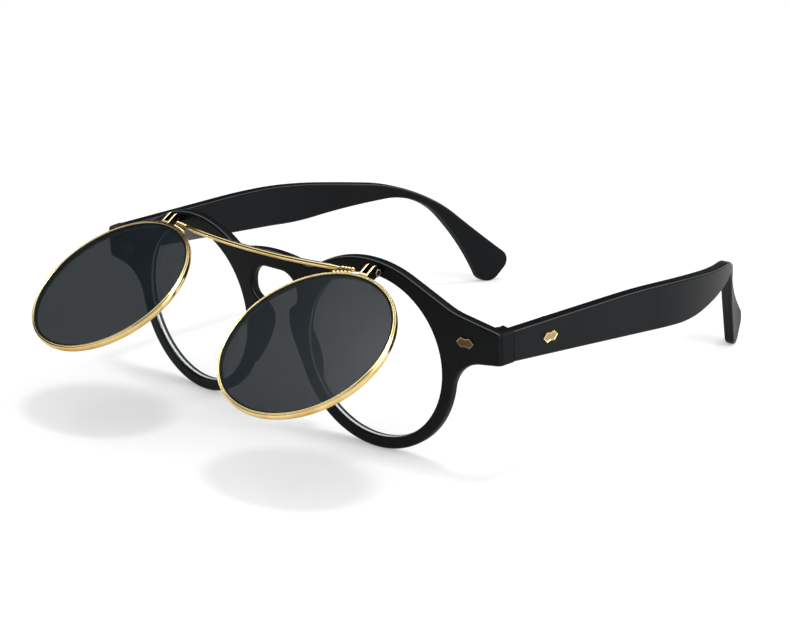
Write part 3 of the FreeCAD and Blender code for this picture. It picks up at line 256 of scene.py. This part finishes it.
# Each piece is a plate with rounded edges, its broad faces across the named axis; last is its painted edge
# highlight.
for piece, across, edge_highlight in (("front", "Y", "#5e6062"), ("temple", "X", "#4c4e50")):
    plastic, tree = new_material("moulded_nylon_sand_finish_" + piece)
    where = add(tree, "TexCoord", {})
    sand = add(tree, "TexNoise", {
        "Vector": where.outputs["Object"], "Scale": scale_for(SAND_GRAIN), "Detail": 3.0})
    cloud = add(tree, "TexNoise", {
        "Vector": where.outputs["Object"], "Scale": scale_for(CLOUD_SIZE), "Detail": 4.0})
    tone = add(tree, "Mix", {
        FACTOR: cloud.outputs["Fac"], COLOUR_A: linear("#090a0c"), COLOUR_B: linear("#101214")},
        data_type="RGBA")
    # A rounded edge is where the surface turns from the broad face to the narrow one.
    way = add(tree, "SeparateXYZ", {"Vector": where.outputs["Normal"]})
    slant = add(tree, "Math", {0: way.outputs[across]}, operation="ABSOLUTE")
    begins = add(tree, "MapRange", {"Value": slant.outputs[0], "From Min": 0.54, "From Max": 0.68})
    ends = add(tree, "MapRange", {"Value": slant.outputs[0], "From Min": 0.86, "From Max": 0.76})
    upward = add(tree, "MapRange", {
        "Value": way.outputs["Z"], "From Min": 0.0, "From Max": 0.5, "To Min": 0.04, "To Max": 0.9})
    edge = add(tree, "Math", {0: begins.outputs[0], 1: ends.outputs[0]}, operation="MULTIPLY")
    painted_highlight = add(tree, "Math", {0: edge.outputs[0], 1: upward.outputs[0]}, operation="MULTIPLY")
    # Painted highlight: rounded edges that face up are mixed towards the pale edge colour, as if lit from
    # above.
    skin = add(tree, "Mix", {
        FACTOR: painted_highlight.outputs[0], COLOUR_A: tone.outputs[COLOUR_OUT], COLOUR_B: linear(edge_highlight)},
        data_type="RGBA")
    rough = add(tree, "MapRange", {"Value": sand.outputs["Fac"], "To Min": 0.36, "To Max": 0.50})
    grain = add(tree, "Bump", {"Height": sand.outputs["Fac"], "Strength": 0.25, "Distance": 0.03 * MM})
    shader = add(tree, "BsdfPrincipled", {
        "Base Color": skin.outputs[COLOUR_OUT], "Roughness": rough.outputs[0], "Normal": grain.outputs[0],
        "IOR": 1.53, "Specular IOR Level": 0.07, "Sheen Weight": 0.01, "Sheen Roughness": 0.4})
    add(tree, "OutputMaterial", {"Surface": shader.outputs[0]})
    plastics[piece] = plastic
print("made", [plastic.name for plastic in plastics.values()])

# %% [markdown]
# ## Polished gold plate
# The clip is drawn wire, polished and plated in pale gold. Plating keeps the wire's faint drawing marks
# and goes a little redder where it is thin, so the colour wanders between lemon and peach and the
# reflection is soft at its edges. On top of that the colour has painted shade below and a painted highlight
# on top. Real drawing marks are finer than a pixel, so they are drawn coarser.

# %% Gold plate
DRAW_MARK = 0.35
PLATE_CLOUD = 6.0
PALE_FROM = 0.4
gold_plate, tree = new_material("polished_gold_plate")
where = add(tree, "TexCoord", {})
marks = add(tree, "TexNoise", {
    "Vector": where.outputs["Object"], "Scale": scale_for(DRAW_MARK), "Detail": 4.0})
cloud = add(tree, "TexNoise", {
    "Vector": where.outputs["Object"], "Scale": scale_for(PLATE_CLOUD), "Detail": 2.0})
# Painted shade and highlight: the gold is mixed darker where it faces down and palest where it faces up,
# standing in for the table's shade and the light from above; the cloud adds the plating's own random tone.
way = add(tree, "SeparateXYZ", {"Vector": where.outputs["Normal"]})
upward = add(tree, "MapRange", {"Value": way.outputs["Z"], "From Min": -0.7, "From Max": 0.5})
share = add(tree, "Math", {0: upward.outputs[0], 1: cloud.outputs["Fac"]}, operation="ADD")
share = add(tree, "Math", {0: share.outputs[0], 1: PALE_FROM}, operation="SUBTRACT", use_clamp=True)
tone = add(tree, "Mix", {
    FACTOR: share.outputs[0], COLOUR_A: linear("#bb8b2c"), COLOUR_B: linear("#ffeaac")},
    data_type="RGBA")
rough = add(tree, "MapRange", {"Value": marks.outputs["Fac"], "To Min": 0.10, "To Max": 0.20})
grain = add(tree, "Bump", {"Height": marks.outputs["Fac"], "Strength": 0.06, "Distance": 0.02 * MM})
shader = add(tree, "BsdfPrincipled", {
    "Base Color": tone.outputs[COLOUR_OUT], "Metallic": 1.0, "Roughness": rough.outputs[0],
    "Normal": grain.outputs[0]})
add(tree, "OutputMaterial", {"Surface": shader.outputs[0]})
print("made", gold_plate.name)

# %% [markdown]
# ## Plain metals
# Four more metals show on the small parts: brown patina in grooves, black-plated steel on the flip hinges,
# satin steel on the temple hinges and dull brass on the rivets. Each could have its own recipe, but at this
# size they differ only in tone, shine and the size of their spots. So one loop makes them from a table.

# %% Plain metals
METALS = {
    # Where polish and plating don't reach, brass goes brown and dull, and reads as a dark line.
    "brown_patina_on_brass": dict(spot=0.5, detail=4.0, tones=("#35291a", "#7a633e"),
                                  shine=(0.35, 0.6), dents=0.4, depth=0.05),
    # The plating is nearly black, with a soft brown glint where the parts rub.
    "black_plated_steel": dict(spot=0.4, detail=4.0, tones=("#141312", "#2e2a26"),
                               shine=(0.22, 0.42), dents=0.2, depth=0.02),
    # Stamped and left satin, it is an even pale grey with a wide, soft shine.
    "stamped_satin_steel": dict(spot=0.3, detail=5.0, tones=("#8d8b86", "#c4c1ba"),
                                shine=(0.28, 0.45), dents=0.2, depth=0.02),
    # Bare brass loses its polish in the air: warm, but with a low shine.
    "stamped_brass_gone_dull": dict(spot=0.6, detail=4.0, tones=("#85704c", "#b8a07a"),
                                    shine=(0.3, 0.5), dents=0.3, depth=0.05),
}
metals = []
for name, recipe in METALS.items():
    metal, tree = new_material(name)
    dark, pale = recipe["tones"]
    smoothest, roughest = recipe["shine"]
    where = add(tree, "TexCoord", {})
    spots = add(tree, "TexNoise", {
        "Vector": where.outputs["Object"], "Scale": scale_for(recipe["spot"]), "Detail": recipe["detail"]})
    tone = add(tree, "Mix", {
        FACTOR: spots.outputs["Fac"], COLOUR_A: linear(dark), COLOUR_B: linear(pale)}, data_type="RGBA")
    rough = add(tree, "MapRange", {"Value": spots.outputs["Fac"], "To Min": smoothest, "To Max": roughest})
    grain = add(tree, "Bump", {
        "Height": spots.outputs["Fac"], "Strength": recipe["dents"], "Distance": recipe["depth"] * MM})
    shader = add(tree, "BsdfPrincipled", {
        "Base Color": tone.outputs[COLOUR_OUT], "Metallic": 1.0, "Roughness": rough.outputs[0],
        "Normal": grain.outputs[0]})
    add(tree, "OutputMaterial", {"Surface": shader.outputs[0]})
    metals.append(metal)
patina, black_steel, hinge_steel, old_brass = metals
print("made", [metal.name for metal in metals])

# %% [markdown]
# ## Smoke-grey lens
# The clip's lenses are flat sheets of tinted plastic, which let through about a thirtieth of the light:
# a white floor behind them shows as a cool dark grey, and the black frame as almost black. A see-through
# surface with a little alpha gives the same, and lets some light through in its shadow.

# %% Tinted lens
LENS_CLOUD = 14.0
smoke_lens, tree = new_material("smoke_tinted_polycarbonate")
where = add(tree, "TexCoord", {})
cloud = add(tree, "TexNoise", {
    "Vector": where.outputs["Object"], "Scale": scale_for(LENS_CLOUD), "Detail": 1.0})
tone = add(tree, "Mix", {
    FACTOR: cloud.outputs["Fac"], COLOUR_A: linear("#171e23"), COLOUR_B: linear("#1d252a")},
    data_type="RGBA")
rough = add(tree, "MapRange", {"Value": cloud.outputs["Fac"], "To Min": 0.13, "To Max": 0.17})
ripple = add(tree, "Bump", {"Height": cloud.outputs["Fac"], "Strength": 0.03, "Distance": 0.05 * MM})
shader = add(tree, "BsdfPrincipled", {
    "Base Color": tone.outputs[COLOUR_OUT], "Roughness": rough.outputs[0], "Normal": ripple.outputs[0],
    "IOR": 1.58, "Specular IOR Level": 0.04, "Alpha": 0.815})
add(tree, "OutputMaterial", {"Surface": shader.outputs[0]})
print("made", smoke_lens.name)

# %% [markdown]
# ## Clear lens
# The lenses in the frame are clear plastic. What shows of them is the reflection, which grows as the
# surface turns away. So the surface is a mirror that is see-through by the share that isn't reflected,
# worked out from how far the surface turns from the eye.

# %% Clear lens
clear_lens, tree = new_material("clear_polished_polycarbonate")
where = add(tree, "TexCoord", {})
cloud = add(tree, "TexNoise", {
    "Vector": where.outputs["Object"], "Scale": scale_for(LENS_CLOUD), "Detail": 1.0})
tone = add(tree, "Mix", {
    FACTOR: cloud.outputs["Fac"], COLOUR_A: linear("#e6eaea"), COLOUR_B: linear("#f4f7f7")},
    data_type="RGBA")
rough = add(tree, "MapRange", {"Value": cloud.outputs["Fac"], "To Min": 0.02, "To Max": 0.05})
# Reflection grows with the fifth power of the turn, from 3 percent face on to all of the light edge on.
turned_away = add(tree, "LayerWeight", {"Blend": 0.5})
steep = add(tree, "Math", {0: turned_away.outputs["Facing"], 1: 5.0}, operation="POWER")
share = add(tree, "MapRange", {"Value": steep.outputs[0], "To Min": 0.03, "To Max": 1.0})
shader = add(tree, "BsdfPrincipled", {
    "Base Color": tone.outputs[COLOUR_OUT], "Metallic": 1.0, "Roughness": rough.outputs[0],
    "Alpha": share.outputs[0]})
add(tree, "OutputMaterial", {"Surface": shader.outputs[0]})
print("made", clear_lens.name)

# %% [markdown]
# ## Ground lens edges with painted light
# A lens is cut to fit its groove, and the cut edge isn't polished. On a clear lens the edge ring is pale, a
# painted highlight for the white line that shows inside the rim. On a tinted lens it is black, a painted
# shade for the dark gap next to the wire. The marks of the grinding wheel are finer than a pixel, so they
# are drawn coarser.

# %% Ground lens edges with painted light
GRIND_MARK = 0.25
lens_edges_painted_light = {}
# The clear edge is pale, a painted highlight; the tinted edge is black, a painted shade.
for kind, dark, pale in (("clear", "#ccd2d2", "#f2f5f5"), ("tinted", "#040505", "#0b0c0d")):
    painted_lens_edge, tree = new_material("ground_%s_lens_edge" % kind)
    where = add(tree, "TexCoord", {})
    marks = add(tree, "TexNoise", {
        "Vector": where.outputs["Object"], "Scale": scale_for(GRIND_MARK), "Detail": 3.0})
    tone = add(tree, "Mix", {
        FACTOR: marks.outputs["Fac"], COLOUR_A: linear(dark), COLOUR_B: linear(pale)}, data_type="RGBA")
    rough = add(tree, "MapRange", {"Value": marks.outputs["Fac"], "To Min": 0.5, "To Max": 0.7})
    grain = add(tree, "Bump", {"Height": marks.outputs["Fac"], "Strength": 0.2, "Distance": 0.02 * MM})
    shader = add(tree, "BsdfPrincipled", {
        "Base Color": tone.outputs[COLOUR_OUT], "Roughness": rough.outputs[0], "Normal": grain.outputs[0],
        "IOR": 1.58, "Specular IOR Level": 0.2})
    add(tree, "OutputMaterial", {"Surface": shader.outputs[0]})
    lens_edges_painted_light[kind] = painted_lens_edge
print("made", [painted_lens_edge.name for painted_lens_edge in lens_edges_painted_light.values()])

# %% [markdown]
# ## Which finish each CAD piece takes
# The CAD pieces keep their shapes. A piece's name without its side says which finish it has. Small metal
# pieces get a fine bevel, because a real stamped edge is never quite sharp and its bevel catches the light.

# %% Finish of each CAD piece
FINISHES = {
    "front_frame": plastics["front"], "nose_pad": plastics["front"], "temple": plastics["temple"],
    "flip_rim": gold_plate, "flip_fork": gold_plate, "top_bar": gold_plate, "bar_block": gold_plate,
    "temple_rivet": gold_plate, "front_rivet": old_brass,
    "flip_knuckle": black_steel, "flip_pin": black_steel,
    "front_hinge_leaf": hinge_steel, "temple_hinge_leaf": hinge_steel, "hinge_screw": hinge_steel,
    "tinted_lens": smoke_lens, "clear_lens": clear_lens,
}
STAMPED_BEVELS = {"flip_knuckle": 0.1, "front_hinge_leaf": 0.12, "temple_hinge_leaf": 0.12}
for name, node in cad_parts.items():
    kind = name.removesuffix("_left").removesuffix("_right")
    node.data.materials.clear()
    node.data.materials.append(FINISHES[kind])
    if kind in STAMPED_BEVELS:
        bevel = node.modifiers.new("stamped_edge", "BEVEL")
        bevel.width = STAMPED_BEVELS[kind] * MM
        bevel.segments = 2
        bevel.limit_method = "ANGLE"
print("finishes set on", len(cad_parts), "pieces")

# %% [markdown]
# ## Tools for new pieces
# Some pieces need finer detail than the CAD model has. Rings and pins are turned shapes: one closed profile
# swept round an axis. Others start as a copy of their CAD piece, with the triangles of each flat face
# joined first, so that a face can be cut or bevelled as a whole. Each piece then gets a name, a finish and
# a body to ride on.

# %% Helpers for meshes
ROUND_STEPS = 160
WELD = 0.001
FLAT_ANGLE = 2.0


def turned(bm, profile, place, finishes=None, steps=ROUND_STEPS):
    """Sweep a closed profile of (radius, height) in mm round the place's Z axis.

    The finishes are slot numbers, one for each side of the profile."""
    rings = []
    for step in range(steps):
        angle = 2 * math.pi * step / steps
        way = Vector((math.cos(angle), math.sin(angle), 0))
        spots = [(way * radius + Vector((0, 0, height))) * MM for radius, height in profile]
        rings.append([bm.verts.new(place @ spot) for spot in spots])
    for ring, following in zip(rings, rings[1:] + rings[:1]):
        for start in range(len(profile)):
            end = (start + 1) % len(profile)
            face = bm.faces.new((ring[start], ring[end], following[end], following[start]))
            face.smooth = True
            face.material_index = finishes[start] if finishes else 0
    bmesh.ops.remove_doubles(bm, verts=bm.verts, dist=WELD * MM)
    bmesh.ops.recalc_face_normals(bm, faces=bm.faces)


def flat_copy(node):
    """A copy of a CAD node's mesh, with the triangles of each flat face joined."""
    bm = bmesh.new()
    bm.from_mesh(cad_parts[node].data)
    bmesh.ops.remove_doubles(bm, verts=bm.verts, dist=WELD * MM)
    bmesh.ops.dissolve_limit(bm, angle_limit=math.radians(FLAT_ANGLE), verts=bm.verts, edges=bm.edges)
    return bm


def new_piece(name, bm, materials, body):
    """A finished mesh as a named piece that rides on a body and takes the given finishes."""
    mesh = bpy.data.meshes.new(name)
    bm.to_mesh(mesh)
    bm.free()
    for material in materials:
        mesh.materials.append(material)
    piece = bpy.data.objects.new(name, mesh)
    studio.collection.objects.link(piece)
    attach(piece, body)
    return piece


print("turned pieces have", ROUND_STEPS, "steps round")

# %% Helpers for places
def middle_of(node):
    """The middle of a node's box."""
    low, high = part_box(node)
    return (low + high) / 2


def place_along(spot, way):
    """The place at a spot whose Z axis runs this way."""
    return Matrix.Translation(spot) @ way.to_track_quat("Z", "Y").to_matrix().to_4x4()


def disc_place(node):
    """The place of a round flat node: its middle, with Z along its axis to the front."""
    face = max(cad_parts[node].data.polygons, key=lambda polygon: polygon.area)
    return place_along(middle_of(node), face.normal if face.normal.y < 0 else -face.normal)


for side in OUTWARD:
    middle = disc_place("tinted_lens" + side).translation
    print("tinted lens", side, "at mm", [round(v / MM, 1) for v in middle])

# %% [markdown]
# ## Eyewires
# Each tinted lens sits in a drawn wire. Its section is not square: in front there is a thin round lip
# over the lens, then a fine groove, then the rounded outer band. The groove keeps its patina. So the wire
# is turned again here with that section, on the axis of its lens and within the CAD ring.

# %% Eyewires
EYEWIRE = [(22.15, -1.2), (22.15, 0.45), (22.17, 0.58), (22.26, 0.68), (22.40, 0.70), (22.52, 0.66),
           (22.60, 0.55), (22.64, 0.40), (22.69, 0.34), (22.74, 0.40), (22.84, 0.47), (22.95, 0.38),
           (23.02, 0.2), (23.05, -0.05), (23.05, -0.55), (23.02, -0.8), (22.95, -1.0), (22.84, -1.14),
           (22.7, -1.2)]
GROOVE = 7
wire_finishes = [1 if step == GROOVE else 0 for step in range(len(EYEWIRE))]
for side in OUTWARD:
    bm = bmesh.new()
    turned(bm, EYEWIRE, disc_place("tinted_lens" + side), wire_finishes)
    eyewire = new_piece("eyewire" + side, bm, [gold_plate, patina], "clip")
    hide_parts("flip_rim" + side)
print("eyewires", len(eyewire.data.polygons), "faces each")

# %% [markdown]
# ## Edges of the lenses
# On the ground edge of each tinted lens sits a narrow black ramp on both faces, next to the wire, painted
# shade for the gap there. The clear lenses have a white ring, a painted highlight seen inside the rim's
# opening. Both are thin turned rings on the lens's axis.

# %% Edges of the lenses
# Painted shade is the black ramp on each tinted lens; painted highlight is the white ring on each clear
# lens.
TINTED_RAMP_PAINTED_SHADE = [(21.74, 0.405), (22.14, 0.405), (22.14, 0.52), (21.98, 0.50)]
CLEAR_RING_PAINTED_HIGHLIGHT = [(21.56, -0.34), (21.69, -0.34), (21.69, 0.34), (21.56, 0.34)]
for side in OUTWARD:
    bm = bmesh.new()
    place = disc_place("tinted_lens" + side)
    turned(bm, TINTED_RAMP_PAINTED_SHADE, place)
    turned(bm, [(radius, -height) for radius, height in TINTED_RAMP_PAINTED_SHADE], place)
    new_piece("tinted_lens_edge" + side, bm, [lens_edges_painted_light["tinted"]], "clip")
    bm = bmesh.new()
    turned(bm, CLEAR_RING_PAINTED_HIGHLIGHT, disc_place("clear_lens" + side))
    new_piece("clear_lens_edge" + side, bm, [lens_edges_painted_light["clear"]], "front")
print("lens edges at", TINTED_RAMP_PAINTED_SHADE[0][0], "and", CLEAR_RING_PAINTED_HIGHLIGHT[0][0], "mm")

# %% [markdown]
# ## Pins of the flip hinges
# Each pin has a low domed head with a dished middle on its outer end, and a small spread tail on the inner
# one. The crest of the head is bright steel where the plating is rubbed off, and this pale ring is also a
# painted highlight for the glint on the head. The place comes from the CAD pin, whose axis runs along X.

# %% Flip pins
PIN = [(0, -1.75), (0.35, -1.72), (0.62, -1.6), (0.7, -1.47), (0.66, -1.39), (0.5, -1.37), (0.5, 1.37),
       (1.1, 1.37), (1.13, 1.55), (1.05, 1.78), (0.86, 1.92), (0.66, 1.94), (0.55, 1.88), (0.3, 1.84),
       (0, 1.83)]
PIN_STEPS = 40
PIN_MIDDLE = 0.25
# Painted highlight: the crest ring is pale steel, which also shows as the glint on the head.
GLINT_AND_RUBBED_CREST = 10
pin_finishes = [1 if step == GLINT_AND_RUBBED_CREST else 0 for step in range(len(PIN))]
for side, outward in OUTWARD.items():
    way = Vector((outward, 0, 0))
    start = middle_of("flip_pin" + side) - way * PIN_MIDDLE * MM
    bm = bmesh.new()
    turned(bm, PIN, place_along(start, way), pin_finishes, PIN_STEPS)
    pin = new_piece("domed_pin" + side, bm, [black_steel, hinge_steel], "clip")
    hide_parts("flip_pin" + side)
print("pins", len(pin.data.polygons), "faces each")

# %% [markdown]
# ## Bar with drawn ends
# A bowed round bar joins the two eyewires. Its ends are drawn thinner, to lie inside the solder. So the bar
# is a copy of the CAD bar whose end points move towards its axis. The CAD mesh has rings of points along
# the bar: points with nearly the same X belong to one ring, and the middles of the rings give the axis.

# %% Axis of the bar
RING_GAP = 0.2
bar_spots = [vertex.co.copy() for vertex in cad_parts["top_bar"].data.vertices]
bar_end = max(spot.x for spot in bar_spots)
bar_rings = []
for spot in sorted(bar_spots, key=lambda spot: spot.x):
    if bar_rings and spot.x - bar_rings[-1][-1].x < RING_GAP * MM:
        bar_rings[-1].append(spot)
    else:
        bar_rings.append([spot])
ring_middles = [sum(ring, Vector()) / len(ring) for ring in bar_rings]


def bar_axis(x):
    """The middle of the bar's section at this X, between the rings of its mesh."""
    for low, high in zip(ring_middles, ring_middles[1:]):
        if x < high.x:
            break
    return low.lerp(high, (x - low.x) / (high.x - low.x))


print("the bar ends", round(bar_end / MM, 1), "mm from the middle, with", len(bar_rings), "rings of points")

# %% Drawn bar
BEAD_STEP, BEAD_COUNT = 1.05, 4
END_THIN = 0.5
bm = bmesh.new()
bm.from_mesh(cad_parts["top_bar"].data)
thin_from = bar_end - BEAD_STEP * BEAD_COUNT * MM
for vertex in bm.verts:
    if abs(vertex.co.x) > thin_from:
        middle = bar_axis(vertex.co.x)
        vertex.co.y += (middle.y - vertex.co.y) * END_THIN
        vertex.co.z += (middle.z - vertex.co.z) * END_THIN
for face in bm.faces:
    face.smooth = True
bar = new_piece("drawn_bar", bm, [gold_plate], "clip")
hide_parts("top_bar")
print("bar drawn thinner from", round(thin_from / MM, 1), "mm")

# %% [markdown]
# ## Solder beads
# At each end the bar is soldered to the wire below it, and the solder stands in two short rows of beads
# with dark flux between them. One could model a single lump, but the beads are what catches the light. They
# are laid along the bar's axis and along the top of the wire, and sink into both.

# %% Solder beads
UPPER_BEAD, LOWER_BEAD, FLUX = 0.66, 0.56, 0.5
# Where the beads start and end on the wire, in steps from the end of the bar.
FIRST_BEAD, LAST_BEAD = 0.35, 0.65
WIRE_TOP = 23.2


def wire_top(side, x):
    """The point on top of a wire at this X."""
    place = disc_place("tinted_lens" + side)
    across = (x - place.translation.x) / MM
    return place @ (Vector((across, math.sqrt(WIRE_TOP ** 2 - across ** 2), 0)) * MM)


def add_bead(bm, centre, radius, finish):
    """Add a round bead."""
    for vertex in bmesh.ops.create_icosphere(bm, subdivisions=3, radius=radius * MM)["verts"]:
        vertex.co += centre
        for face in vertex.link_faces:
            face.smooth = True
            face.material_index = finish


for side, outward in OUTWARD.items():
    bm = bmesh.new()
    for number in range(BEAD_COUNT):
        x = outward * (bar_end - (FIRST_BEAD + number) * BEAD_STEP * MM)
        upper, lower = bar_axis(x), wire_top(side, x)
        add_bead(bm, upper, UPPER_BEAD, 0)
        add_bead(bm, lower, LOWER_BEAD, 0)
        add_bead(bm, (upper + lower) / 2, FLUX, 1)
    add_bead(bm, wire_top(side, outward * (bar_end + LAST_BEAD * BEAD_STEP * MM)), LOWER_BEAD, 0)
    beads = new_piece("solder_beads" + side, bm, [gold_plate, patina], "clip")
    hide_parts("bar_block" + side)
print("bar to wire mm", round((upper - lower).length / MM, 2), "beads", 2 * BEAD_COUNT + 1, "on each side")

# %% [markdown]
# ## Forks of the flip hinge
# Each fork is cut from sheet: two leaves stand beside the knuckle. The flat sides of the leaves are given
# black-plated steel as painted shade, so the leaves show as two bright lines with dark between. A
# copy of the CAD fork gets the black on its sides and a fine bevel on its sharp edges.

# %% Forks
FORK_BEVEL, SHARP_ANGLE = 0.08, math.radians(40)
SIDEWAYS = 0.9
for side in OUTWARD:
    bm = flat_copy("flip_fork" + side)
    for face in bm.faces:
        # Painted shade: faces that look along X, the flat sides of the leaves, take the black steel.
        face.material_index = 1 if abs(face.normal.x) > SIDEWAYS else 0
    sharp = [edge for edge in bm.edges if edge.is_manifold and edge.calc_face_angle() > SHARP_ANGLE]
    bmesh.ops.bevel(bm, geom=sharp, offset=FORK_BEVEL * MM, segments=2, profile=0.5, affect="EDGES",
                    material=0)
    fork = new_piece("cut_fork" + side, bm, [gold_plate, black_steel], "clip")
    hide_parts("flip_fork" + side)
print("forks", len(fork.data.polygons), "faces each")

# %% [markdown]
# ## Temples
# The temples keep their CAD shape. Turning curved solids into triangles can leave a few faces without any
# area, here at the ear bend. They show nothing but trouble other programs, so each temple is a copy
# of the CAD mesh without them.

# %% Temples
NO_AREA = 1e-12
for side in OUTWARD:
    bm = bmesh.new()
    bm.from_mesh(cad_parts["temple" + side].data)
    empty = [face for face in bm.faces if face.calc_area() < NO_AREA]
    print("temple", side, "loses", len(empty), "of", len(bm.faces), "faces")
    bmesh.ops.delete(bm, geom=empty, context="FACES_ONLY")
    temple = new_piece("temple_plate" + side, bm, [plastics["temple"]], "temple" + side)
    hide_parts("temple" + side)

# %% [markdown]
# ## Stamped rivets
# The double-arrow rivets are stamped: a raised border runs round a sunk middle with a rough, darker
# face. Each is made from a copy of its CAD piece: the front face is inset and pushed in, and the sharp
# outer edges get a small bevel.

# %% Stamped rivets
BORDER, SUNK, RIVET_BEVEL = 0.34, 0.08, 0.07
for kind, border, middle, slot in (("front_rivet", old_brass, patina, "old_brass"),
                                   ("temple_rivet", gold_plate, old_brass, "gold_metal")):
    for side in OUTWARD:
        bm = flat_copy(kind + side)
        head = max(bm.faces, key=lambda face: face.calc_area())
        rim_edges = list(head.edges)
        bmesh.ops.inset_region(bm, faces=[head], thickness=BORDER * MM, depth=-SUNK * MM)
        head.material_index = 1
        bmesh.ops.bevel(bm, geom=rim_edges, offset=RIVET_BEVEL * MM, segments=2, profile=0.6,
                        affect="EDGES")
        rides_on = "front" if kind == "front_rivet" else "temple" + side
        rivet = new_piece("stamped_%s%s" % (kind, side), bm, [border, middle], rides_on)
        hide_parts(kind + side)
print("rivets", len(rivet.data.polygons), "faces each")

# %% [markdown]
# ## Slotted screws of the temple hinges
# Each temple turns on a screw whose head lies in the top of the hinge, and a slot in the head takes the
# screwdriver. A copy of the CAD screw has its flat head cut into three strips by two planes, and the middle
# strip is pushed in. Its floor is dark with dirt.

# %% Slotted screws
SLOT_WIDTH, SLOT_DEPTH, SLOT_LIP = 0.42, 0.3, 0.02
FACING_UP = 0.9
for side in OUTWARD:
    bm = flat_copy("hinge_screw" + side)
    head = max((face for face in bm.faces if face.normal.z > FACING_UP), key=lambda face: face.calc_area())
    centre = head.calc_center_median()
    across = head.normal.cross(Vector((1, 0, 0))).normalized()
    for shift in (-SLOT_WIDTH / 2, SLOT_WIDTH / 2):
        top = [face for face in bm.faces if face.normal.z > FACING_UP]
        top_edges = dict.fromkeys(edge for face in top for edge in face.edges)
        top_corners = dict.fromkeys(vertex for face in top for vertex in face.verts)
        bmesh.ops.bisect_plane(bm, geom=[*top, *top_edges, *top_corners],
                               plane_co=centre + across * shift * MM, plane_no=across)
    strip = [face for face in bm.faces if face.normal.z > FACING_UP
             and abs((face.calc_center_median() - centre).dot(across)) < SLOT_WIDTH / 4 * MM]
    bmesh.ops.inset_region(bm, faces=strip, thickness=SLOT_LIP * MM, depth=-SLOT_DEPTH * MM)
    for face in strip:
        face.material_index = 1
    screw = new_piece("slotted_screw" + side, bm, [hinge_steel, patina], "temple" + side)
    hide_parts("hinge_screw" + side)
print("screws", len(screw.data.polygons), "faces each, slot", SLOT_WIDTH, "mm wide")
